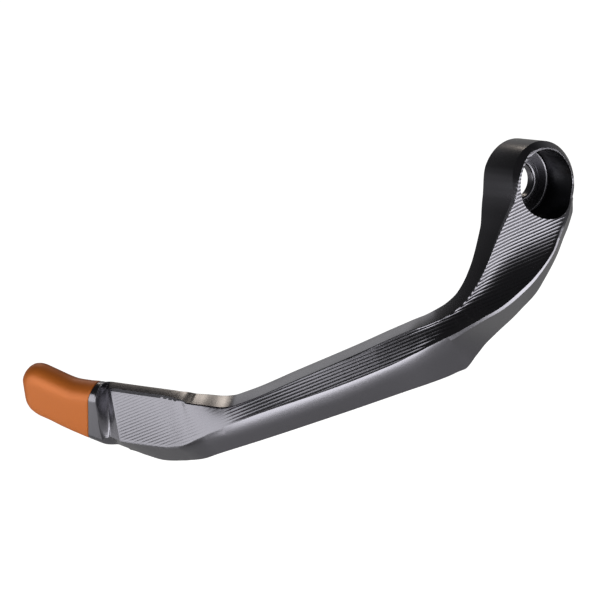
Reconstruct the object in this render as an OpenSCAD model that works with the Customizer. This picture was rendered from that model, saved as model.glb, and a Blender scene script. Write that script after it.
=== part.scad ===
// Brake lever guard: a machined arm with an eye for the bar end and a capped tip.
// The seat face of the eye lies on X = 0, +X points outboard, -Y forward and +Z up.

/* [Eye] */
// Outer diameter of the eye
eye_d = 28; // [26:0.5:30]
// Length of the eye along the handlebar's axis
eye_len = 16.5; // [15:0.1:17]
// Diameter of the counterbore that takes the bar-end weight
counterbore_d = 22.8; // [20:0.2:23.4]
// Thickness of the seat left under the counterbore
seat_t = 3.4; // [2.4:0.2:5]
// Diameter of the hole for the bar-end bolt
hole_d = 11.4; // [8:0.2:13]
// Chamfer round the hole, on the side of the counterbore
hole_chamfer = 0.8; // [0.3:0.1:1.2]
// Diameter of the spot face round the hole
spot_d = 15.6; // [14.8:0.2:18]
// Depth of the spot face
spot_depth = 0.3; // [0.2:0.1:0.6]
// Chamfer round the eye's outer rim
rim_chamfer = 1.1; // [0.6:0.1:1.5]

/* [Path of the arm] */
// Distance of the arm's centre line from the seat face at the eye
centre_x = 8.2; // [7:0.1:8.4]
// Place of the first bend, from the middle of the eye
bend_1 = [4.5, -42, -30]; // [-120:0.5:60]
// Radius of the first bend
bend_1_r = 34; // [28:1:38]
// Place of the second bend, from the middle of the eye
bend_2 = [-86.5, -110.5, -36.5]; // [-140:0.5:60]
// Radius of the second bend
bend_2_r = 24; // [16:1:40]
// Place of the third bend, from the middle of the eye
bend_3 = [-122.2, -121.4, -29.7]; // [-160:0.5:60]
// Radius of the third bend
bend_3_r = 40; // [20:1:50]
// Place of the end of the tip, from the middle of the eye
tip_end = [-155.7, -130.8, -16.5]; // [-180:0.5:60]

/* [Tip] */
// Length of the tip along the arm
tip_len = 30.7; // [28:0.5:32]
// Thickness of the tip and the collar
tip_t = 9.8; // [9.4:0.2:11]
// Length over which the end of the tip is rounded
tip_round = 9; // [6:0.5:12]
// Length of the spigot inside the tip
spigot_len = 14; // [11:0.5:18]
// Thickness of the spigot
spigot_t = 5; // [4:0.2:5.4]
// Height of the spigot
spigot_h = 13; // [10:0.5:15]
// Clearance round the spigot
spigot_gap = 0.1; // [0.05:0.05:0.2]
// Clearance past the end of the spigot
pocket_end_gap = 0.6; // [0.3:0.1:1]
// Lean of the joint: how far its plane leans for each millimetre of its height
joint_lean = 0.23; // [0:0.01:0.3]

/* [Ribs] */
// Distance between the passes of the cutter that leave the ribs
rib_pitch = 1.05; // [1:0.05:2]
// Depth of the groove that each pass leaves
rib_depth = 0.28; // [0.1:0.02:0.3]

/* [Screw] */
// Diameter of the screw
screw_d = 4; // [3:0.5:4]
// Head diameter of the countersunk screw
screw_head_d = 7.6; // [6.8:0.2:8]
// Length of the screw, head included
screw_len = 6.2; // [5:0.2:6.6]
// Width across the flats of the hex socket
socket_af = 2.5; // [2:0.5:2.5]
// Depth of the hex socket
socket_depth = 1.4; // [1:0.1:1.6]
// Distance of the screw from the joint
screw_x = 7; // [6:0.5:8]
// Clearance round the screw
screw_gap = 0.1; // [0.05:0.05:0.2]

/* [Hidden] */
fine = 64;
eye_r = eye_d / 2;
front_n = eye_len - centre_x;

// The centre line: straight legs joined by arcs.
eye_mid = [centre_x, 0, 0];
corners = [eye_mid, eye_mid + bend_1, eye_mid + bend_2, eye_mid + bend_3, eye_mid + tip_end];
radii = [0, bend_1_r, bend_2_r, bend_3_r];
function unit(v) = v / norm(v);
function flat(v, n) = v - n * (v * n);
dirs = [for (i = [0:3]) unit(corners[i + 1] - corners[i])];
turns = [0, for (i = [1:3]) acos(dirs[i - 1] * dirs[i])];
setbacks = [0, for (i = [1:3]) radii[i] * tan(turns[i] / 2), 0];
legs = [for (i = [0:3]) norm(corners[i + 1] - corners[i]) - setbacks[i] - setbacks[i + 1]];
arcs = [0, for (i = [1:3]) radii[i] * turns[i] * PI / 180];
spans = [legs[0], arcs[1], legs[1], arcs[2], legs[2], arcs[3], legs[3]];
function total(v, n) = n == 0 ? 0 : v[n - 1] + total(v, n - 1);
marks = [for (i = [0:7]) total(spans, i)];
arm_end = marks[7];
joint_s = arm_end - tip_len;

function span_of(s, i = 0) = i >= 6 || s < marks[i + 1] ? i : span_of(s, i + 1);
function leg_start(k) = corners[k] + dirs[k] * setbacks[k];
function arc_start(k) = corners[k] - dirs[k - 1] * setbacks[k];
function arc_side(k) = unit(flat(dirs[k], dirs[k - 1]));
function line_point(k, x) = leg_start(k) + dirs[k] * x;
function arc_point(k, a) = arc_start(k) + radii[k] * (sin(a) * dirs[k - 1] + (1 - cos(a)) * arc_side(k));
function arc_dir(k, a) = cos(a) * dirs[k - 1] + sin(a) * arc_side(k);
function centre(s) = let(i = span_of(s), k = ceil(i / 2), x = s - marks[i])
    i % 2 == 0 ? line_point(i / 2, x) : arc_point(k, x / radii[k] * 180 / PI);
function heading(s) = let(i = span_of(s), k = ceil(i / 2), x = s - marks[i])
    i % 2 == 0 ? dirs[i / 2] : arc_dir(k, x / radii[k] * 180 / PI);

// Each section lies in a frame: along the arm, out of its front face and up its height.
// The sections of the eye lie along the handlebar's axis, and those at the joint lean with it.
collar_len = 9.3;
run_out = 2;
rib_end = joint_s - collar_len - run_out;
function step(x) = let(c = max(0, min(1, x))) c * c * (3 - 2 * c);
function blend(a, b, t) = a * (1 - t) + b * t;
up_eye = unit(cross(flat(dirs[0], [1, 0, 0]), [1, 0, 0]));
up_run = [0, 0, 1];
up_tip = unit([0.05, 0, 1]);
first_twist = 8;
second_twist = 6;
function up_guide(s) = blend(
    blend(up_eye, up_run, step((s - marks[1] + first_twist) / (arcs[1] + 2 * first_twist))),
    up_tip, step((s - marks[3] + second_twist) / (arcs[2] + 2 * second_twist)));
end_lean = 0.12;
function lean(s) = s < joint_s ? joint_lean * step((s - rib_end) / (joint_s - rib_end))
    : blend(joint_lean, end_lean, step((s - joint_s) / tip_len));
square_end = 12;
function along(s) = let(t = heading(s), turned = step((s - square_end) / (marks[2] - square_end)))
    unit(unit(blend(unit(flat(t, [1, 0, 0])), t, turned)) + lean(s) * unit(flat(up_guide(s), t)));
function up(s) = unit(flat(up_guide(s), along(s)));
function front(s) = cross(up(s), along(s));

// The rails give the section's edges along the arm. A knot holds a place and a size in
// millimetres: a place of 2.5 is halfway along the third span of the centre line, and
// places under 0 are the half of the eye behind its middle.
function place(u) = u < 0 ? u * eye_r : let(i = min(6, floor(u))) marks[i] + (u - i) * spans[i];
function knots(list) = [for (k = list) [place(k[0]), k[1]]];
function slope(t, i) = (t[i + 1][1] - t[i][1]) / (t[i + 1][0] - t[i][0]);
function tangent(t, i) = i == 0 ? slope(t, 0) : i == len(t) - 1 ? slope(t, i - 1)
    : let(a = slope(t, i - 1), b = slope(t, i)) a * b <= 0 ? 0 : 2 * a * b / (a + b);
function knot_of(t, s, i = 0) = i >= len(t) - 2 || s < t[i + 1][0] ? i : knot_of(t, s, i + 1);
function rail(t, s) = let(i = knot_of(t, s), h = t[i + 1][0] - t[i][0],
    x = max(0, min(1, (s - t[i][0]) / h)), y = 1 - x)
    t[i][1] * y * y * (1 + 2 * x) + t[i + 1][1] * x * x * (3 - 2 * x)
    + h * x * y * (tangent(t, i) * y - tangent(t, i + 1) * x);

// Back face and front edge of the top band, measured out of the centre line. The back of the
// eye is the seat face, so it stays on X = 0 as far as seat_reach from the middle of the eye.
seat_reach = 10;
neck_back_n = knots([[0, -7.8], [0.6, -7.8], [1, -7.5], [1.4, -6.5], [1.8, -5.1], [2.1, -4.4], [7, -4.4]]);
function back_n(s) = blend(-centre(s)[0], rail(neck_back_n, s), step((s - seat_reach) / seat_reach));
band_n = knots([[-1, front_n - rim_chamfer], [0, front_n - rim_chamfer], [0.13, 6.9], [0.32, 5.8], [0.52, 3.6],
    [0.71, 1.8], [0.91, 0.6], [1.1, 0], [1.3, 0], [1.56, 1], [1.8, 1.8], [2.09, 2.5], [2.56, 2.5],
    [2.84, 1.8], [3.2, 0.2], [4.1, -0.8], [7, -0.8]]);
top_w = knots([[-1, eye_r], [0, eye_r], [0.06, 13.75], [0.13, 13.1], [0.23, 11.9], [0.32, 10.9], [0.42, 10.2],
    [0.52, 9.8], [0.71, 9.2], [0.91, 9], [1.16, 9.3], [1.4, 9.3], [1.56, 9.8], [1.8, 10.7], [2, 10.8],
    [2.09, 10.3], [2.29, 8.6], [2.56, 6.7], [2.77, 5.2], [2.84, 5.1], [2.88, 5.7], [2.97, 9.2], [3.16, 11],
    [3.55, 12], [4.1, 12.4], [4.74, 12.3], [7, 12.3]]);
// Ridge between the scoop and the land, and the land's lower edge.
ridge_n = knots([[-1, front_n], [0, front_n], [0.13, 9.4], [0.26, 10.6], [0.4, 11.4], [0.6, 11.3], [1, 10.2],
    [1.4, 9.4], [1.8, 8.2], [2.09, 7.5], [2.9, 7.5], [3.5, 6.4], [4.1, 5.8], [4.7, 5.2], [7, 5]]);
ridge_w = knots([[0, -11.5], [0.2, -10.4], [0.42, -8.3], [0.62, -7.9], [0.81, -6.4], [1, -3.9], [1.16, -0.3],
    [1.32, 2.8], [1.48, 5.8], [1.62, 6.9], [1.75, 7], [1.9, 6.3], [2.02, 4.9], [2.15, 3.1], [2.43, 1.6],
    [2.7, 1.2], [2.93, 0], [3.2, -1.2], [4, -4.4], [4.3, -6.4], [4.8, -6.9], [7, -6]]);
land_w = knots([[0, -12.2], [0.2, -11.8], [0.42, -9.9], [0.62, -9.2], [0.81, -8.4], [1, -6.3], [1.16, -3.2],
    [1.32, 1.2], [1.48, 4.5], [1.62, 5.7], [1.75, 5.7], [1.9, 4.8], [2.02, 3.3], [2.15, 1.6], [2.43, -1.1],
    [2.7, -1.7], [2.9, -2], [3.2, -2.2], [4, -5], [4.3, -7], [4.8, -7.3], [7, -6.4]]);
// Lower edge of the bevel, with a sharp corner where the neck meets the run.
keel_corner = place(1.83);
keel_n = knots([[-1, 6], [-0.4, 6.2], [0, 6.8], [0.3, 7], [0.6, 6.8], [1, 4.6], [1.24, 1],
    [1.52, -2], [1.62, -1], [1.72, 1.3], [1.83, 3.6], [2.1, 4.5], [3, 4.5], [4, 3], [4.7, 2.2], [7, 2]]);
keel_neck = knots([[-1, -eye_r], [0, -eye_r], [0.15, -15.2], [0.3, -15], [0.45, -14.4], [0.6, -14], [0.8, -13.3],
    [1, -12.6], [1.1, -12.2], [1.24, -11.3], [1.4, -10.8], [1.52, -10.4], [1.62, -9.5], [1.72, -9.1], [1.83, -9.8]]);
keel_run = knots([[1.83, -9.8], [1.9, -9.3], [2.1, -9.4], [2.43, -10], [2.8, -10.3], [3, -10.2], [3.5, -11.4],
    [4.1, -14], [4.5, -16], [4.74, -15.4], [4.95, -14.6], [7, -14]]);
function keel_w(s) = s < keel_corner ? rail(keel_neck, s) : rail(keel_run, s);
// Lower edge of the back.
foot_w = knots([[-1, -eye_r], [0, -eye_r], [0.3, -14.2], [0.6, -13.9], [1, -12.4], [1.3, -11.3], [1.6, -10.4],
    [2.1, -9.8], [2.43, -10], [2.8, -10.3], [3, -10.2], [3.5, -11.4], [4.1, -14], [4.5, -15.6], [4.74, -15.4],
    [4.95, -14.6], [7, -14]]);
// How strongly the scoop is dished: 1 is flat.
dish = knots([[-1, 1], [0.2, 1], [0.4, 1.4], [0.6, 1.9], [1, 2.4], [1.5, 2.5], [2.1, 2.3], [2.8, 1.8], [3.3, 1.2], [4, 1], [7, 1]]);
// Edge break along the front edge of the top band, and on the other edges.
band_break = knots([[-1, rim_chamfer], [0.1, rim_chamfer], [0.6, 0.6], [1, 0.4], [3, 0.4], [4, 0.8], [7, 0.8]]);
edge_break = 0.6;
// Width of the flat behind the front edge of the top band, and lean of the land.
band_flat = 0.6;
land_lean = 0.1;

// The eye's back half is a circle, seen along its axis: every height shrinks with it.
function circle_share(s) = s >= 0 ? 1 : sqrt(max(0, 1 - pow(s / eye_r, 2)));

// The cutter's passes lie in parallel planes. Each leaves a row of crests and a row of valleys
// across the scoop. A row that doesn't cross the scoop at s lies on its upper or lower end.
pass_normal = unit([-0.327, 0.253, 0.909]);
first_row = 14;
last_row = -46;
rib_start = 12.5;
rib_fade = 3;
row_pitch = rib_pitch / 2;
row_count = floor((first_row - last_row) / row_pitch);
function scoop_at(a, b, d, v) = [blend(a[0], b[0], pow(v, d)), blend(a[1], b[1], v)];
function cross_row(a, b, d, n, h, low = 0, high = 1, i = 0) = let(v = (low + high) / 2)
    i == 16 ? (v < 0.01 ? 0 : v > 0.99 ? 1 : v)
    : scoop_at(a, b, d, v) * n > h ? cross_row(a, b, d, n, h, v, high, i + 1) : cross_row(a, b, d, n, h, low, v, i + 1);
function scoop_start(s) = let(b = rail(band_break, s)) [rail(band_n, s) + b, rail(top_w, max(0, s)) - b];
function scoop_end(s) = [rail(ridge_n, s), rail(ridge_w, max(0, s))];
function rows(s) = let(at = min(rib_end, max(rib_start, s)),
    n = [front(at) * pass_normal, up(at) * pass_normal], h = centre(at) * pass_normal,
    a = scoop_start(at), b = scoop_end(at), d = rail(dish, at))
    [for (i = [0:row_count - 1]) let(v = cross_row(a, b, d, n, first_row - i * row_pitch - h))
        s >= rib_start ? v : v < 0.5 ? 0 : 1];
function scoop(s, list) = let(a = scoop_start(s), b = scoop_end(s), d = rail(dish, s),
    fade = rib_depth * step((s - rib_start) / rib_fade) * step((rib_end - s) / rib_fade))
    [for (i = [0:row_count - 1]) let(v = list[i], depth = i % 2 == 0 || v == 0 || v == 1 ? 0 : fade,
        n = unit([a[1] - b[1], d * pow(max(v, 0.01), d - 1) * (b[0] - a[0])]))
        scoop_at(a, b, d, v) - depth * n];

// A blade section, as points [out of the front, up], from the top of the back round the
// front to the bottom of the back.
function arc_corner(c, r, a0, a1, n) = [for (i = [0:n]) let(a = a0 + (a1 - a0) * i / n) c + r * [cos(a), sin(a)]];
function blade(s, list) =
    let(at = max(0, s), k = circle_share(s),
        bn = back_n(s), tn = rail(band_n, s), tw = rail(top_w, at),
        land = [rail(ridge_n, s) + land_lean, rail(land_w, at)],
        keel = [rail(keel_n, s), keel_w(at)], e = edge_break,
        points = concat(
            arc_corner([bn + e, tw - e], e, 180, 90, 6),
            [[tn - band_flat, tw], [tn, tw], scoop_start(s)],
            scoop(s, list),
            [for (i = [0:2]) blend(land, keel, i / 2)],
            arc_corner(keel + [-2 * e, e], e, 0, -90, 2),
            arc_corner([bn + e, rail(foot_w, at) + e], e, -90, -180, 4)))
    [for (p = points) [p[0], p[1] * k]];

// The collar and the tip have round edges above and below a flat front.
tip_n = 0.4;
tip_top = knots([[4.9, 13], [5.5, 14.6], [6.05, 14.3], [6.22, 12.8], [6.4, 11.7], [6.65, 12.8], [7, 14.8]]);
tip_bottom = knots([[4.9, -13.6], [6.05, -13.3], [6.25, -12.7], [6.45, -11.8], [6.65, -10.5], [7, -9.3]]);
end_power = 2.3;
top_steps = 9;
bottom_steps = 10;
function end_share(s) = let(x = max(0, (s - arm_end + tip_round) / tip_round)) pow(max(0, 1 - pow(x, end_power)), 1 / end_power);
function edge_share(s) = let(r = tip_t / 2, x = max(0, (s - arm_end + r) / r)) sqrt(max(0, 1 - x * x));
function capsule(s, list) =
    let(a = tip_t / 2 * edge_share(s),
        mid = (rail(tip_top, s) + rail(tip_bottom, s)) / 2,
        half = (rail(tip_top, s) - rail(tip_bottom, s)) / 2 * end_share(s),
        h = max(0, half - a), top = [tip_n, mid + h], bottom = [tip_n, mid - h])
    concat(
        arc_corner(top, a, 180, 0, top_steps),
        [for (v = list) blend(top, bottom, v) + [a, 0]],
        arc_corner(bottom, a, 0, -180, bottom_steps));

// The plateau runs down into the collar before the joint.
function arm_section(s) = let(t = step((s - rib_end) / run_out), list = rows(s), b = blade(s, list))
    t == 0 ? b : let(c = capsule(s, list)) [for (i = [0:len(b) - 1]) blend(b[i], c[i], t)];

function lay(section, s) = let(c = centre(s), n = front(s), w = up(s)) [for (p = section) c + n * p[0] + w * p[1]];

// Skin over a row of rings, closed by a flat face at each end. Neighbours in a ring that lie on
// one place count as one point.
function first_there(ring, j) = j > 0 && norm(ring[j] - ring[j - 1]) < 0.0001 ? first_there(ring, j - 1) : j;
function differ(t) = t[0] != t[1] && t[1] != t[2] && t[2] != t[0];
module loft(rings) {
    n = len(rings[0]);
    last = len(rings) - 1;
    at = [for (i = [0:last]) [for (j = [0:n - 1]) i * n + first_there(rings[i], j)]];
    sides = [for (i = [0:last - 1], j = [0:n - 1], half = [0, 1])
        let(a = at[i][j], b = at[i][(j + 1) % n], c = at[i + 1][(j + 1) % n], d = at[i + 1][j],
            face = half == 0 ? [a, b, c] : [a, c, d])
        if (differ(face)) face];
    caps = [
        [for (j = [n - 1:-1:0]) if (at[0][j] == j) j],
        [for (j = [0:n - 1]) if (at[last][j] == last * n + j) last * n + j]];
    polyhedron([for (r = rings) each r], concat(sides, caps), convexity = 10);
}

function spread(from, to, pitch) = let(n = ceil((to - from) / pitch)) [for (i = [0:n - 1]) from + (to - from) * i / n];
arm_stations = concat(
    [for (a = [6:6:84]) -eye_r * cos(a)],
    spread(0, rib_start, 1.6),
    spread(rib_start, keel_corner, 1.2),
    spread(keel_corner, marks[2], 1.5),
    spread(marks[2], marks[3] - 20, 4),
    spread(marks[3] - 20, marks[4], 1.4),
    spread(marks[4], rib_end, 2.5),
    spread(rib_end, joint_s - collar_len, 0.8),
    spread(joint_s - collar_len, joint_s, 1.5),
    [joint_s]);
tip_stations = concat(
    spread(joint_s, arm_end - tip_round, 1.5),
    [for (a = [0:7.5:82.5]) arm_end - tip_round * (1 - sin(a))]);

// Turns a shape made along X, out along Y and up Z into the frame of the joint.
module at_joint() {
    c = centre(joint_s);
    t = heading(joint_s);
    n = front(joint_s);
    w = cross(t, n);
    multmatrix([
        [t[0], n[0], w[0], c[0]],
        [t[1], n[1], w[1], c[1]],
        [t[2], n[2], w[2], c[2]],
        [0, 0, 0, 1]]) children();
}

// A bar with round edges, along X.
module round_bar(length, thickness, height) {
    rotate([90, 0, 90]) linear_extrude(length) {
        square([thickness, height - thickness], center = true);
        for (side = [-1, 1])
            translate([0, side * (height - thickness) / 2]) circle(d = thickness, $fn = fine);
    }
}

module along_x(x) {
    translate([x, 0, 0]) rotate([0, 90, 0]) children();
}

module eye_bores() {
    counterbore_depth = eye_len - seat_t;
    along_x(seat_t) cylinder(d = counterbore_d, h = 3 * counterbore_depth, $fn = 2 * fine);
    along_x(seat_t - spot_depth) cylinder(d = spot_d, h = 2 * spot_depth, $fn = fine);
    along_x(-1) cylinder(d = hole_d, h = seat_t + 2, $fn = fine);
    along_x(seat_t - spot_depth - hole_chamfer)
        cylinder(d1 = hole_d, d2 = hole_d + 4 * hole_chamfer, h = 2 * hole_chamfer, $fn = fine);
}

module screw_axis() {
    translate([screw_x, tip_n - tip_t / 2, 0]) rotate([-90, 0, 0]) children();
}

// The spigot and its pocket start behind the joint, as the joint's plane leans.
spigot_root = 4;
module spigot() {
    translate([-spigot_root, tip_n, 0]) round_bar(spigot_root + spigot_len, spigot_t, spigot_h);
}

module pocket() {
    length = spigot_root + spigot_len + pocket_end_gap;
    translate([-spigot_root, tip_n, 0])
        round_bar(length, spigot_t + 2 * spigot_gap, spigot_h + 2 * spigot_gap);
}

module guard_arm() {
    color("#2b2c30") difference() {
        union() {
            loft([for (s = arm_stations) lay(arm_section(s), s)]);
            at_joint() spigot();
        }
        eye_bores();
        at_joint() screw_axis() cylinder(d = screw_d + 2 * screw_gap, h = tip_t, $fn = fine);
    }
}

module tip() {
    color("#c4622a") difference() {
        loft([for (s = tip_stations) lay(capsule(s, [0.25, 0.5, 0.75]), s)]);
        at_joint() {
            pocket();
            screw_axis() {
                translate([0, 0, -1]) cylinder(d = screw_d + 4 * screw_gap, h = tip_t / 2 + 1, $fn = fine);
                translate([0, 0, -1])
                    cylinder(d1 = screw_head_d + 2 * screw_gap + 2, d2 = screw_d + 2 * screw_gap,
                        h = (screw_head_d - screw_d) / 2 + 1, $fn = fine);
            }
        }
    }
}

module tip_screw() {
    head_h = (screw_head_d - screw_d) / 2;
    color("#5a5c60") at_joint() screw_axis() difference() {
        union() {
            cylinder(d1 = screw_head_d, d2 = screw_d, h = head_h, $fn = fine);
            cylinder(d = screw_d, h = screw_len, $fn = fine);
        }
        translate([0, 0, -1]) cylinder(d = socket_af / cos(30), h = socket_depth + 1, $fn = 6);
    }
}

guard_arm();
tip();
tip_screw();
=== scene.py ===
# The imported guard: arm, tip and screw at their real size, in metres, as every piece below is fitted to them.
# The arm and the tip are made again here with all the marks of the cutter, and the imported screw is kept.
import math

import bmesh
import bpy
import numpy as np
from mathutils import Matrix, Vector


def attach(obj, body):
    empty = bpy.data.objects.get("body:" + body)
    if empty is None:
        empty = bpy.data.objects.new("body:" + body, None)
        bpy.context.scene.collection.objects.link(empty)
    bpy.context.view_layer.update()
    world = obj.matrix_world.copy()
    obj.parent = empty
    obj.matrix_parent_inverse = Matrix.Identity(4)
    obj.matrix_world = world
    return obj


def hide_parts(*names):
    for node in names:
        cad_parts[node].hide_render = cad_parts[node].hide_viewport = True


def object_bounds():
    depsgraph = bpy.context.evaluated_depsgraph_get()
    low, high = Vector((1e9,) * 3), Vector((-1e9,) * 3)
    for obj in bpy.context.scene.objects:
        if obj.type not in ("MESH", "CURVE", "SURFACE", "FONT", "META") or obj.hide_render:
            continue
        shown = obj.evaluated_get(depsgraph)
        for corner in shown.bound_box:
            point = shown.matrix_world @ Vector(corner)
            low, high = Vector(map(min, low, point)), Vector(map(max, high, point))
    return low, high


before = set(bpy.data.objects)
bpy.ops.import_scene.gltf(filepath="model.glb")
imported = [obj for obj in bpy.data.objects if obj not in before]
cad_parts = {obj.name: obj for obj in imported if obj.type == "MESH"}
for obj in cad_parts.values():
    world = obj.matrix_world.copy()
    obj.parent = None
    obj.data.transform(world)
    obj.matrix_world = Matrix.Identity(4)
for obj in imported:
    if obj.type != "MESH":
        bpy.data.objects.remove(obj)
cad_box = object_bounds()


# Arm: milled from one bar of 6082 aluminium on a five-axis machine, then black anodised.
# The eye at its outer end is bored for the bar end. A ball-ended cutter sweeps the hollowed front face
# and leaves a rib between each pass, and the faces round it are cut with the side of an end mill.
eye_d = 28
eye_len = 16.5
counterbore_d = 22.8
seat_t = 3.4
hole_d = 11.4
hole_chamfer = 0.8
spot_d = 15.6
spot_depth = 0.3
floor_fillet = 0.7
rim_chamfer = 2
centre_x = 8.2
tip_len = 30.7
tip_t = 9.8
tip_round = 9
joint_lean = 0.23
end_lean = 0.12
eye_r = eye_d / 2
front_n = eye_len - centre_x


def unit(v):
    return v / np.linalg.norm(v)


def flat(v, n):
    return v - n * np.dot(v, n)


def step(x):
    c = min(1, max(0, x))
    return c * c * (3 - 2 * c)


def ramp_up(x):
    """A straight ramp from 0 to 1 that bends gently over the first and the last fifth of its length."""
    c = min(1, max(0, x))
    if c < 0.2:
        return c * c / 0.32
    if c > 0.8:
        return 1 - (1 - c) ** 2 / 0.32
    return (c - 0.1) / 0.8


def blend(a, b, t):
    return a * (1 - t) + b * t


# The centre line is made of straight legs joined by arcs, from the middle of the eye to the tip's end.
eye_mid = np.array([centre_x, 0, 0])
bends = [(4.5, -42, -30), (-86.5, -110.5, -36.5), (-122.2, -121.4, -29.7), (-155.7, -130.8, -16.5)]
corners = [eye_mid] + [eye_mid + np.array(b) for b in bends]
radii = [0, 34, 24, 40]
dirs = [unit(corners[i + 1] - corners[i]) for i in range(4)]
turns = [0] + [math.acos(np.dot(dirs[i - 1], dirs[i])) for i in (1, 2, 3)]
setbacks = [0] + [radii[i] * math.tan(turns[i] / 2) for i in (1, 2, 3)] + [0]
legs = [np.linalg.norm(corners[i + 1] - corners[i]) - setbacks[i] - setbacks[i + 1] for i in range(4)]
arcs = [radii[i] * turns[i] for i in range(4)]
spans = [legs[0], arcs[1], legs[1], arcs[2], legs[2], arcs[3], legs[3]]
marks = [sum(spans[:i]) for i in range(8)]
arm_end = marks[7]
joint_s = arm_end - tip_len


def centre(s):
    """The point of the centre line at s, and the line's direction there."""
    i = max(j for j in range(7) if j == 0 or s >= marks[j])
    k = (i + 1) // 2
    x = s - marks[i]
    if i % 2 == 0:
        return corners[k] + dirs[k] * (setbacks[k] + x), dirs[k]
    a = x / radii[k]
    side = unit(flat(dirs[k], dirs[k - 1]))
    start = corners[k] - dirs[k - 1] * setbacks[k]
    point = start + radii[k] * (math.sin(a) * dirs[k - 1] + (1 - math.cos(a)) * side)
    return point, math.cos(a) * dirs[k - 1] + math.sin(a) * side


# Each section lies in a frame: out of the arm's front face, and up its height. The frame turns as it goes,
# from the eye's own upright to the run's, and from that to the tip's.
outboard = np.array([1.0, 0, 0])
up_eye = unit(np.cross(flat(dirs[0], outboard), outboard))
up_run = np.array([0, 0, 1.0])
up_tip = unit(np.array([0.05, 0, 1.0]))
collar_len = 9.3
run_out = 2
rib_end = joint_s - collar_len - run_out
first_twist = 8
second_twist = 6
square_end = 12


def section_frame(s):
    point, heading = centre(s)
    guide = blend(up_eye, up_run, step((s - marks[1] + first_twist) / (arcs[1] + 2 * first_twist)))
    guide = blend(guide, up_tip, step((s - marks[3] + second_twist) / (arcs[2] + 2 * second_twist)))
    lean = joint_lean * step((s - rib_end) / (joint_s - rib_end))
    if s > joint_s:
        lean = blend(joint_lean, end_lean, step((s - joint_s) / tip_len))
    along = blend(unit(flat(heading, outboard)), heading, step((s - square_end) / (marks[2] - square_end)))
    along = unit(unit(along) + lean * unit(flat(guide, heading)))
    up = unit(flat(guide, along))
    return point, np.cross(up, along), up


def lay(section, s):
    point, front, up = section_frame(s)
    section = np.array(section)
    return point + section[:, :1] * front + section[:, 1:] * up


# The rails give the section's edges along the arm, as pairs of place and size. A place of 2.5 is halfway
# along the third span of the centre line, and places under 0 are the half of the eye behind its middle.
def place(u):
    i = min(6, int(u))
    return u * eye_r if u < 0 else marks[i] + (u - i) * spans[i]


class Rail:
    def __init__(self, *pairs):
        self.s = [place(u) for u, size in pairs]
        self.v = [size for u, size in pairs]
        steps = range(len(pairs) - 1)
        slopes = [(self.v[i + 1] - self.v[i]) / (self.s[i + 1] - self.s[i]) for i in steps]
        middle = [0 if a * b <= 0 else 2 * a * b / (a + b) for a, b in zip(slopes, slopes[1:])]
        self.slopes = [slopes[0]] + middle + [slopes[-1]]

    def __call__(self, s):
        i = max(j for j in range(len(self.s) - 1) if j == 0 or s >= self.s[j])
        h = self.s[i + 1] - self.s[i]
        x = min(1, max(0, (s - self.s[i]) / h))
        y = 1 - x
        ends = self.v[i] * y * y * (1 + 2 * x) + self.v[i + 1] * x * x * (3 - 2 * x)
        return ends + h * x * y * (self.slopes[i] * y - self.slopes[i + 1] * x)


neck_back_n = Rail((0, -7.8), (0.6, -7.8), (1, -7.5), (1.4, -6.5), (1.8, -5.1), (2.1, -4.4), (7, -4.4))
band_n = Rail(
    (-1, front_n - rim_chamfer), (0, front_n - rim_chamfer), (0.13, 6.7), (0.32, 5.8), (0.52, 3.6), (0.71, 1.8),
    (0.91, 0.6), (1.1, 0), (1.3, 0), (1.56, 1), (1.8, 1.8), (2.09, 2.5), (2.56, 2.9), (2.84, 3.1), (3.2, 1.7),
    (3.6, 0.3), (4.2, -0.7), (7, -0.8))
top_w = Rail(
    (-1, eye_r), (0, eye_r), (0.06, 13.75), (0.13, 13.1), (0.23, 11.9), (0.32, 10.9), (0.42, 10.2), (0.52, 9.8),
    (0.71, 9.2), (0.91, 9), (1.16, 9.3), (1.4, 9.3), (1.56, 9.8), (1.8, 10.7), (2, 10.8), (2.09, 10.3),
    (2.29, 8.6), (2.56, 6.7), (2.77, 5.2), (2.84, 5.1), (2.88, 5.7), (2.97, 9.2), (3.16, 11), (3.55, 12),
    (4.1, 12.4), (4.74, 12.3), (7, 12.3))
ridge_n = Rail(
    (-1, front_n), (0, front_n), (0.13, 9.4), (0.26, 10.6), (0.4, 11.4), (0.6, 11.3), (1, 10.2), (1.4, 9.4),
    (1.8, 8.2), (2.09, 7.5), (2.5, 7.3), (2.9, 6.6), (3.5, 6), (4.1, 5.7), (4.7, 5.2), (7, 5))
ridge_w = Rail(
    (0, -11.5), (0.2, -10.4), (0.42, -8.3), (0.62, -7.9), (0.81, -6.4), (1, -3.9), (1.16, -0.3), (1.32, 2.8),
    (1.48, 5.8), (1.62, 6.9), (1.75, 7), (1.9, 6.3), (2.02, 4.9), (2.15, 3.1), (2.43, 1.6), (2.7, 1.2),
    (2.93, 0),
    (3.2, -1.2), (4, -4.4), (4.3, -6.4), (4.8, -6.9), (7, -6))
land_w = Rail(
    (0, -12.1), (0.2, -11), (0.42, -9), (0.62, -8.5), (0.81, -7.1), (1, -4.9), (1.16, -1.6), (1.32, 1.6),
    (1.48, 4.7), (1.62, 5.7), (1.75, 5.3), (1.9, 4), (2.02, 2.3), (2.15, 0.5), (2.43, -2.2), (2.7, -2.8),
    (2.9, -3), (3.2, -3), (4, -5.2), (4.3, -7), (4.8, -7.3), (7, -6.4))
keel_n = Rail(
    (-1, 6), (-0.4, 6.2), (0, 6.8), (0.3, 7), (0.6, 6.8), (1, 4.6), (1.24, 1), (1.52, -2), (1.62, -1),
    (1.72, 1.3),
    (1.83, 3.6), (2.1, 4.5), (3, 4.5), (4, 3), (4.7, 2.2), (7, 2))
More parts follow.
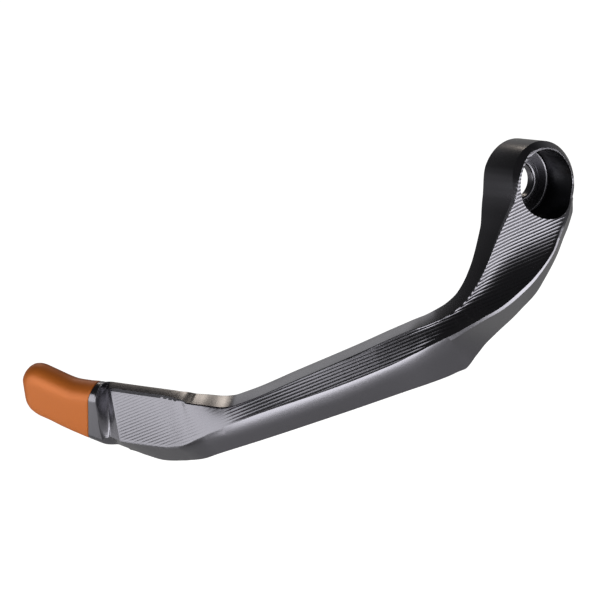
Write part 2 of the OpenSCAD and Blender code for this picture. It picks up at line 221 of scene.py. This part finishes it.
keel_neck = Rail(
    (-1, -eye_r), (0, -eye_r), (0.15, -15.2), (0.3, -15), (0.45, -14.4), (0.6, -14), (0.8, -13.3), (1, -12.6),
    (1.1, -12.2), (1.24, -11.3), (1.4, -10.8), (1.52, -10.4), (1.62, -9.5), (1.72, -9.1), (1.83, -9.8))
keel_run = Rail(
    (1.83, -9.8), (1.9, -9.3), (2.1, -9.4), (2.43, -10), (2.8, -10.3), (3, -10.2), (3.5, -11.4), (4.1, -14),
    (4.5, -16), (4.74, -15), (4.95, -13.8), (7, -13.6))
foot_w = Rail(
    (-1, -eye_r), (0, -eye_r), (0.3, -14.2), (0.6, -13.9), (1, -12.4), (1.3, -11.3), (1.6, -10.4), (2.1, -9.8),
    (2.43, -10), (2.8, -10.3), (3, -10.2), (3.5, -11.4), (4.1, -14), (4.5, -15.6), (4.74, -15), (4.95, -13.8),
    (7, -14))
dish = Rail(
    (-1, 1), (0.2, 1), (0.4, 1.4), (0.6, 1.9), (1, 2.4), (1.5, 2.2), (1.8, 1.6), (2.1, 1.1), (4, 1), (7, 1))
band_break = Rail(
    (-1, rim_chamfer), (0, rim_chamfer), (0.13, 1.4), (0.6, 0.6), (1, 0.4), (3, 0.4), (4, 0.8), (7, 0.8))
tip_top = Rail((4.9, 13), (5.5, 14.6), (6.05, 14.3), (6.22, 12.8), (6.4, 11.7), (6.65, 12.8), (7, 14.8))
tip_bottom = Rail((4.9, -13.6), (6.05, -13.3), (6.25, -12.7), (6.45, -11.8), (6.65, -10.5), (7, -9.3))
keel_corner = place(1.83)
edge_break = 0.6
band_flat = 0.6
land_lean = 0.1


def arc_corner(c, r, a0, a1, steps):
    turn = [math.radians(a0 + (a1 - a0) * i / steps) for i in range(steps + 1)]
    return [np.array([c[0] + r * math.cos(a), c[1] + r * math.sin(a)]) for a in turn]


# The cutter's passes are parallel planes, one every rib_pitch, and each leaves a groove with a sharp crest
# beside it.
rib_pitch = 1.05
rib_depth = Rail(
    (-1, 0.1), (0.8, 0.1), (1, 0.09), (1.3, 0.14), (1.8, 0.2), (2.2, 0.08), (3, 0.04), (7, 0.03))
pass_normal = unit(np.array([-0.327, 0.253, 0.909]))
first_pass = 14
last_pass = -46
rows_in_pass = 6
rib_from = -10
rib_fade_in = 6
rib_fade_out = 1.5
edge_fade = 0.8
top_fade_from = marks[3] - 10
halvings = 26
row_heights = np.arange(first_pass, last_pass, -rib_pitch / rows_in_pass)
scoop_rows = len(row_heights)
back_steps = 6
bevel_rows = 3
keel_steps = 4
seat_reach = 10
rim_narrowing = 0.9
narrow_from = -9
narrow_over = 3


def back_n(s):
    return blend(-centre(s)[0][0], neck_back_n(s), step((s - seat_reach) / seat_reach))


def circle_share(s):
    return 1 if s >= 0 else math.sqrt(max(0, 1 - (s / eye_r) ** 2))


def scoop_profile(start, ridge, power, v):
    """The hollow face between the top band and the land, and its normal, at shares v of the way down."""
    v = np.clip(v, 0, 1)
    n = start[0] + (ridge[0] - start[0]) * v ** power
    w = start[1] + (ridge[1] - start[1]) * v
    slope = np.stack([(ridge[0] - start[0]) * power * np.maximum(v, 1e-6) ** (power - 1),
                      np.full(len(v), ridge[1] - start[1])], 1)
    normal = np.stack([-slope[:, 1], slope[:, 0]], 1)
    return np.stack([n, w], 1), normal / np.linalg.norm(normal, axis=1)[:, None]


def scoop(s, start, ridge, k):
    """The rows of the cutter's passes on the hollow face at s."""
    point, front, up = section_frame(s)
    along_n = np.dot(front, pass_normal)
    along_w = np.dot(up, pass_normal) * k
    base = np.dot(point, pass_normal)
    power = dish(s)
    low = np.zeros(scoop_rows)
    high = np.ones(scoop_rows)
    for halving in range(halvings):
        v = (low + high) / 2
        at, normal = scoop_profile(start, ridge, power, v)
        height = base + at[:, 0] * along_n + at[:, 1] * along_w
        above = height > row_heights
        low = np.where(above, v, low)
        high = np.where(above, high, v)
    v = (low + high) / 2
    v[v < 1e-5] = 0
    v[v > 1 - 1e-5] = 1
    at, normal = scoop_profile(start, ridge, power, v)
    height = base + at[:, 0] * along_n + at[:, 1] * along_w
    phase = (height - first_pass) / rib_pitch
    groove = 1 - (2 * (phase - np.floor(phase)) - 1) ** 2
    fade = step((s - rib_from) / rib_fade_in) * step((rib_end - s) / rib_fade_out)
    near_ridge = np.clip((1 - v) * abs(ridge[1] - start[1]) / edge_fade, 0, 1)
    near_top = np.clip(v * abs(ridge[1] - start[1]) / edge_fade, 0, 1) if s > top_fade_from else 1
    return at - normal * (rib_depth(s) * fade * groove * near_ridge * near_top)[:, None]


def blade(s):
    """The section from the eye to the plateau, from the back's upper edge over the front to its lower one."""
    at = max(0, s)
    k = circle_share(s)
    bn, tn, tw, tb = back_n(s), band_n(s), top_w(at), band_break(s)
    start = (tn + tb, tw - tb)
    ridge = (ridge_n(s), ridge_w(at))
    land = np.array([ridge[0] + land_lean, land_w(at)])
    keel = np.array([keel_n(s), keel_neck(at) if s < keel_corner else keel_run(at)])
    e = edge_break
    points = arc_corner((bn + e, tw - e), e, 180, 90, back_steps)
    points += [np.array([tn - band_flat, tw]), np.array([tn, tw])]
    points += [np.array([tn + tb * 0.5, tw - tb * 0.5])]
    points += list(scoop(s, start, ridge, k))
    points += [blend(land, keel, i / bevel_rows) for i in range(bevel_rows + 1)]
    points += arc_corner((keel[0] - 2 * e, keel[1] + e), e, 0, -90, keel_steps)
    points += arc_corner((bn + e, foot_w(at) + e), e, -90, -180, back_steps)
    points = np.array(points) * (1, k)
    if s < 0:
        narrow = np.where(points[:, 1] > 0, step((s - narrow_from) / narrow_over), 0)
        bevel = np.maximum(0, np.hypot(s, points[:, 1]) - eye_r + rim_chamfer - rim_narrowing * narrow)
        points[:, 0] = np.minimum(points[:, 0], front_n - bevel)
    return points


edge_steps_top = back_steps + 3
edge_steps_bottom = bevel_rows + 1 + keel_steps + back_steps + 1
tip_n = 0.4
end_power = 2.3
joint_break = 0.35


def end_share(s):
    x = max(0, (s - arm_end + tip_round) / tip_round)
    return max(0, 1 - x ** end_power) ** (1 / end_power)


def edge_share(s):
    r = tip_t / 2
    x = max(0, (s - arm_end + r) / r)
    return math.sqrt(max(0, 1 - x * x))


def capsule(s, front_rows):
    """The section of the collar and the tip: a flat front and back with round edges above and below."""
    gap = joint_break * max(0, 1 - abs(s - joint_s) / joint_break)
    a = tip_t / 2 * edge_share(s) - gap
    middle = (tip_top(s) + tip_bottom(s)) / 2
    half = (tip_top(s) - tip_bottom(s)) / 2 * end_share(s) - gap
    h = max(0, half - a)
    front_top = np.array([tip_n + a, middle + h])
    front_bottom = np.array([tip_n + a, middle - h])
    points = arc_corner((tip_n, middle + h), a, 180, 0, edge_steps_top)
    points += [blend(front_top, front_bottom, v) for v in front_rows]
    points += arc_corner((tip_n, middle - h), a, 0, -180, edge_steps_bottom)
    return np.array(points)


# Past the last pass the face steps down and falls away, then rises to the ring that the tip seats against.
collar_step = 0.35
collar_step_len = 0.5
collar_slope = 0.24
ring_len = 4.8
ring_rise = 2.4


def arm_section(s):
    t = ramp_up((s - joint_s + ring_len + ring_rise) / ring_rise)
    b = blade(s)
    sink = collar_step * step((s - rib_end) / collar_step_len) + collar_slope * max(0, s - rib_end)
    sink = sink * (1 - t)
    b[:, 0] = np.where(b[:, 0] > 0, b[:, 0] - sink, b[:, 0])
    if t == 0:
        return b
    start = b[edge_steps_top]
    rows = b[edge_steps_top:edge_steps_top + scoop_rows, 1]
    bottom = rows[-1]
    shares = np.clip((start[1] - rows) / (start[1] - bottom), 0, 1)
    return blend(b, capsule(s, shares), t)


# Sizes are in millimetres until the mesh is made, and MM is one millimetre in metres.
MM = 0.001
merge_dist = 0.002
sliver = 0.001


def make_mesh(name, points, faces):
    """A mesh object of points in millimetres, with doubled points merged."""
    mesh = bpy.data.meshes.new(name)
    mesh.from_pydata([tuple(p * MM) for p in points], [], faces)
    bm = bmesh.new()
    bm.from_mesh(mesh)
    bmesh.ops.remove_doubles(bm, verts=bm.verts, dist=merge_dist * MM)
    bmesh.ops.dissolve_degenerate(bm, edges=bm.edges, dist=sliver * MM)
    bmesh.ops.recalc_face_normals(bm, faces=bm.faces)
    bm.to_mesh(mesh)
    bm.free()
    piece = bpy.data.objects.new(name, mesh)
    bpy.context.scene.collection.objects.link(piece)
    return piece


def loft(name, rings):
    """One skin over a row of rings with as many points each, closed by a flat face at each end."""
    count = len(rings[0])
    faces = []
    for i in range(len(rings) - 1):
        for j in range(count):
            a = i * count + j
            b = i * count + (j + 1) % count
            faces.append((a, b, b + count, a + count))
    last = (len(rings) - 1) * count
    faces.append(tuple(range(count - 1, -1, -1)))
    faces.append(tuple(range(last, last + count)))
    return make_mesh(name, np.concatenate(rings), faces)


def spread(start, end, pitch):
    count = math.ceil((end - start) / pitch)
    return [start + (end - start) * i / count for i in range(count)]


# The stations are closest where the passes cross the neck and the plateau, and where the face turns.
eye_step = 1.5
bend_start = marks[3] - 20
break_s = joint_s - joint_break
arm_stations = [-eye_r * math.cos(math.radians(a)) for a in np.arange(eye_step, 90, eye_step)]
arm_stations += spread(0, marks[2], 0.25) + spread(marks[2], bend_start, 1) + spread(bend_start, marks[4], 0.5)
arm_stations += spread(marks[4], rib_end, 0.35) + spread(rib_end, break_s, 0.25) + [break_s, joint_s]
arm = loft("guard_arm_milled", [lay(arm_section(s), s) for s in arm_stations])


def lathe(name, profile, sides, matrix):
    """A solid turned about the x axis, from pairs of place along it and radius."""
    turn = [2 * math.pi * i / sides for i in range(sides)]
    rings = [np.array([[x, r * math.cos(a), r * math.sin(a)] for a in turn]) for x, r in profile]
    solid = loft(name, rings)
    solid.data.transform(matrix)
    return solid


def cut(piece, tool, operation="DIFFERENCE"):
    """Cuts the tool out of the piece, or joins it on, and removes the tool."""
    change = piece.modifiers.new("cut", "BOOLEAN")
    change.object = tool
    change.operation = operation
    change.solver = "MANIFOLD"
    bpy.context.view_layer.update()
    shape = piece.evaluated_get(bpy.context.evaluated_depsgraph_get())
    mesh = bpy.data.meshes.new_from_object(shape)
    piece.modifiers.clear()
    piece.data = mesh
    bpy.data.objects.remove(tool)


# One turned cutter makes the through hole with its rounded edge, the spot face, the fillet and the counterbore.
floor_x = seat_t - spot_depth
fillet_steps = 8
bore_sides = 180
edge_mid = (floor_x - hole_chamfer, hole_d / 2 + hole_chamfer)
fillet_mid = (seat_t + floor_fillet, counterbore_d / 2 - floor_fillet)
bore_profile = [(-1, hole_d / 2)]
bore_profile += [tuple(p) for p in arc_corner(edge_mid, hole_chamfer, -90, 0, fillet_steps)]
bore_profile += [(floor_x, spot_d / 2), (seat_t, spot_d / 2)]
bore_profile += [tuple(p) for p in arc_corner(fillet_mid, floor_fillet, 180, 90, fillet_steps)]
bore_profile += [(3 * eye_len, counterbore_d / 2)]
cut(arm, lathe("bore_tool", bore_profile, bore_sides, Matrix.Identity(4)))

# The spigot that the tip slides on lies in the frame of the joint, and starts behind it, as its plane leans.
spigot_root = 4
spigot_len = 14
spigot_t = 5
spigot_h = 13
round_steps = 16
joint_point, joint_front = section_frame(joint_s)[:2]
joint_along = centre(joint_s)[1]
joint_up = np.cross(joint_along, joint_front)
joint_frame = Matrix.Identity(4)
for row in range(3):
    joint_frame[row][0] = joint_along[row]
    joint_frame[row][1] = joint_front[row]
    joint_frame[row][2] = joint_up[row]
    joint_frame[row][3] = joint_point[row] * MM


def round_bar(name, start, end, thickness, height):
    """A bar with round edges above and below, along the joint's own direction."""
    r = thickness / 2
    half = height / 2 - r
    outline = arc_corner((tip_n, half), r, 180, 0, round_steps)
    outline += arc_corner((tip_n, -half), r, 0, -180, round_steps)
    rings = [np.array([[x, p[0], p[1]] for p in outline]) for x in (start, end)]
    bar = loft(name, rings)
    bar.data.transform(joint_frame)
    return bar


cut(arm, round_bar("spigot_tool", -spigot_root, spigot_len, spigot_t, spigot_h), "UNION")
crease = 28


def finish_edges(piece):
    """Smooth shading, with the edges kept sharp where the faces turn by more than the crease."""
    piece.data.polygons.foreach_set("use_smooth", [True] * len(piece.data.polygons))
    piece.data.set_sharp_from_angle(angle=math.radians(crease))


finish_edges(arm)


def linear(code):
    """An sRGB hex colour as the linear values that a shader takes."""
    parts = [int(code[i:i + 2], 16) / 255 for i in (1, 3, 5)]
    return [p / 12.92 if p <= 0.04045 else ((p + 0.055) / 1.055) ** 2.4 for p in parts] + [1]


def add_node(tree, kind, settings=None, links=None):
    """Adds a node. Settings are its properties and unlinked sockets, and links join sockets to outputs."""
    node = tree.nodes.new(kind)
    for key, value in (settings or {}).items():
        if isinstance(key, str) and hasattr(node, key):
            setattr(node, key, value)
        else:
            node.inputs[key].default_value = value
    for key, output in (links or {}).items():
        tree.links.new(output, node.inputs[key])
    return node


def new_material(name):
    material = bpy.data.materials.new(name)
    material.use_nodes = True
    material.node_tree.nodes.clear()
    return material, material.node_tree


# Black anodised aluminium: a dyed oxide skin on bright metal, so it stays dark and mirrors light softly.
# The skin's sheen drifts a little over about 11 mm, and its grain, finer than 0.4 mm, only softens the mirror.
black_anodised, tree = new_material("black_anodised_aluminium")
place_node = add_node(tree, "ShaderNodeTexCoord")
spot = place_node.outputs["Object"]
grain = add_node(tree, "ShaderNodeTexNoise", {"Scale": 2600.0, "Detail": 3.0}, {"Vector": spot})
cloud = add_node(tree, "ShaderNodeTexNoise", {"Scale": 90.0, "Detail": 4.0}, {"Vector": spot})
skin = add_node(tree, "ShaderNodeMapRange", {"To Min": 0.2, "To Max": 0.28}, {"Value": cloud.outputs["Fac"]})
bump = add_node(tree, "ShaderNodeBump", {"Strength": 0.12, "Distance": 0.00002},
                {"Height": grain.outputs["Fac"]})
black = add_node(tree, "ShaderNodeBsdfPrincipled", {"Base Color": linear("#66656a"), "Metallic": 1.0},
                 {"Roughness": skin.outputs["Result"], "Normal": bump.outputs["Normal"]})
add_node(tree, "ShaderNodeOutputMaterial", None, {"Surface": black.outputs["BSDF"]})
arm.data.materials.clear()
arm.data.materials.append(black_anodised)

# The bore's wall has a darker base colour than the milled faces, which is painted shade inside the counterbore,
# and it is also a little rougher.
painted_bore_shade_material, tree = new_material("black_anodised_aluminium_painted_bore_shade")
painted_bore_shade_bsdf = add_node(tree, "ShaderNodeBsdfPrincipled",
                 {"Base Color": linear("#3c3c40"), "Metallic": 1.0, "Roughness": 0.3})
add_node(tree, "ShaderNodeOutputMaterial", None, {"Surface": painted_bore_shade_bsdf.outputs["BSDF"]})
arm.data.materials.append(painted_bore_shade_material)
bore_reach = counterbore_d / 2 + 0.01
# Faces of the counterbore's wall take the darker material, which paints shade into the recess.
for face in arm.data.polygons:
    if math.hypot(face.center.y, face.center.z) < bore_reach * MM and face.center.x > 0.1 * MM:
        painted_shade_wall = face.center.x > (seat_t + floor_fillet) * MM
        face.material_index = 1 if painted_shade_wall else 0
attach(arm, "root")
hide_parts("guard_arm")


# Tip: a separate cap of the same aluminium, anodised orange, that slides on the arm's spigot.
# It is milled with round edges, and a pocket inside holds the spigot.
spigot_gap = 0.1
pocket_end_gap = 0.6
front_flat = [i / 6 for i in range(1, 6)]
tip_stations = [joint_s] + spread(joint_s + joint_break, arm_end - tip_round, 0.5)
tip_stations += [arm_end - tip_round * (1 - math.sin(math.radians(a))) for a in np.arange(0, 89, 2)]
tip = loft("tip_milled", [lay(capsule(s, front_flat), s) for s in tip_stations])
pocket_t = spigot_t + 2 * spigot_gap
pocket_h = spigot_h + 2 * spigot_gap
cut(tip, round_bar("pocket_tool", -spigot_root, spigot_len + pocket_end_gap, pocket_t, pocket_h))
finish_edges(tip)

# Orange anodised aluminium, blasted with fine beads before it is dyed: a satin face with no mirror image in it.
# The dyed skin scatters part of the light, so it isn't fully metallic.
orange_anodised, tree = new_material("orange_anodised_aluminium")
place_node = add_node(tree, "ShaderNodeTexCoord")
beads = add_node(tree, "ShaderNodeTexNoise", {"Scale": 3000.0, "Detail": 2.0},
                 {"Vector": place_node.outputs["Object"]})
bump = add_node(tree, "ShaderNodeBump", {"Strength": 0.15, "Distance": 0.00002},
                {"Height": beads.outputs["Fac"]})
orange = add_node(tree, "ShaderNodeBsdfPrincipled",
                  {"Base Color": linear("#a2540e"), "Metallic": 0.3, "Roughness": 0.5},
                  {"Normal": bump.outputs["Normal"]})
add_node(tree, "ShaderNodeOutputMaterial", None, {"Surface": orange.outputs["BSDF"]})
tip.data.materials.clear()
tip.data.materials.append(orange_anodised)
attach(tip, "root")
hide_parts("tip")


# Tip screw: a countersunk socket screw of black oxide steel. It holds the tip on the spigot from the lever's
# side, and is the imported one. The oxide is thin and fine, so the steel is dark grey with a soft sheen.
screw_steel, tree = new_material("black_oxide_steel")
steel = add_node(tree, "ShaderNodeBsdfPrincipled",
                 {"Base Color": linear("#4c4c4f"), "Metallic": 1.0, "Roughness": 0.38})
add_node(tree, "ShaderNodeOutputMaterial", None, {"Surface": steel.outputs["BSDF"]})
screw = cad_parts["tip_screw"]
screw.data.materials.clear()
screw.data.materials.append(screw_steel)


# Studio: a pale floor under the floating guard, with low softboxes in front, at the right and behind, and a dim
# ceiling. The camera stands where the photographer's did, with a long lens.
floor_drop = 0.1
lowest = cad_box[0][2] - floor_drop
floor_mesh = bpy.data.meshes.new("floor")
floor_size = 3
floor_corners = [(x * floor_size, y * floor_size, lowest) for x, y in ((-1, -1), (1, -1), (1, 1), (-1, 1))]
floor_mesh.from_pydata(floor_corners, [], [(0, 1, 2, 3)])
floor = bpy.data.objects.new("floor", floor_mesh)
bpy.context.scene.collection.objects.link(floor)
floor_paint, tree = new_material("white_paper")
rays = add_node(tree, "ShaderNodeLightPath")
paper = add_node(tree, "ShaderNodeBsdfDiffuse", {"Color": linear("#b4b4b4")})
seen = add_node(tree, "ShaderNodeMath", {"operation": "MULTIPLY", 1: 0.85}, {0: rays.outputs["Is Camera Ray"]})
lift = add_node(tree, "ShaderNodeMath", {"operation": "MULTIPLY_ADD", 1: 0.05},
                {0: rays.outputs["Is Glossy Ray"], 2: seen.outputs[0]})
glow = add_node(tree, "ShaderNodeEmission", {"Color": linear("#ffffff")}, {"Strength": lift.outputs[0]})
both = add_node(tree, "ShaderNodeAddShader", None, {0: paper.outputs["BSDF"], 1: glow.outputs["Emission"]})
add_node(tree, "ShaderNodeOutputMaterial", None, {"Surface": both.outputs["Shader"]})
floor_mesh.materials.append(floor_paint)

world = bpy.data.worlds.new("studio")
world.use_nodes = True
tree = world.node_tree
tree.nodes.clear()
rays = add_node(tree, "ShaderNodeLightPath")
sky = add_node(tree, "ShaderNodeTexCoord")
split = add_node(tree, "ShaderNodeSeparateXYZ", None, {"Vector": sky.outputs["Generated"]})
ramp = add_node(tree, "ShaderNodeValToRGB", None, {"Fac": split.outputs["Z"]})
ramp.color_ramp.elements[0].position = 0.1
ramp.color_ramp.elements[0].color = (0.3, 0.3, 0.3, 1)
ramp.color_ramp.elements[1].position = 0.6
ramp.color_ramp.elements[1].color = (0.05, 0.05, 0.05, 1)
dim = add_node(tree, "ShaderNodeMix", {"data_type": "RGBA", "A": (0.35, 0.35, 0.35, 1)},
               {"Factor": rays.outputs["Is Glossy Ray"], "B": ramp.outputs["Color"]})
white = add_node(tree, "ShaderNodeMix", {"data_type": "RGBA", "B": (1, 1, 1, 1)},
                 {"Factor": rays.outputs["Is Camera Ray"], "A": dim.outputs["Result"]})
back = add_node(tree, "ShaderNodeBackground", {"Strength": 1.0}, {"Color": white.outputs["Result"]})
add_node(tree, "ShaderNodeOutputWorld", None, {"Surface": back.outputs["Background"]})
bpy.context.scene.world = world


def softbox(name, place, aim, width, height, radiance, colour="#ffffff"):
    """A lit card of the given radiance, where a white paper in full light is 1. The camera doesn't see it."""
    lamp = bpy.data.lights.new(name, "AREA")
    lamp.shape = "RECTANGLE"
    lamp.size = width
    lamp.size_y = height
    lamp.energy = radiance * math.pi * width * height
    lamp.color = linear(colour)[:3]
    box = bpy.data.objects.new(name, lamp)
    box.location = place
    box.rotation_euler = (Vector(aim) - Vector(place)).to_track_quat("-Z", "Y").to_euler()
    box.visible_camera = False
    bpy.context.scene.collection.objects.link(box)


softbox("front_softbox", (0.055, -0.27, -0.108), (0.055, 0, -0.108), 0.21, 0.076, 6)
softbox("plateau_softbox", (-0.12, -0.29, 0.03), (-0.12, 0, 0.03), 0.22, 0.18, 3)
softbox("tip_card", (-0.28, -0.29, -0.1), (-0.28, 0, -0.1), 0.16, 0.09, 1)
softbox("right_softbox", (0.22, -0.05, -0.1), (0, -0.05, -0.1), 0.44, 0.096, 6)
softbox("right_card", (0.22, -0.05, -0.012), (0, -0.05, -0.012), 0.44, 0.08, 1.2)
softbox("back_softbox", (-1.91, 1.635, 1.634), (-0.1, -0.11, 0), 0.7, 0.6, 6, "#fff4e0")
softbox("back_card", (-0.753, 0.19, 0.22), (-0.04, -0.08, -0.02), 0.3, 0.2, 0.9)

camera_data = bpy.data.cameras.new("camera")
camera_data.lens = 144
camera_data.sensor_width = 36
camera = bpy.data.objects.new("camera", camera_data)
camera.location = (0.609684, -0.404705, 0.329022)
camera.rotation_euler = [math.radians(a) for a in (62.7991, 24.7178, 50.703)]
bpy.context.scene.collection.objects.link(camera)
bpy.context.scene.camera = camera
bpy.context.scene.view_settings.view_transform = "Standard"
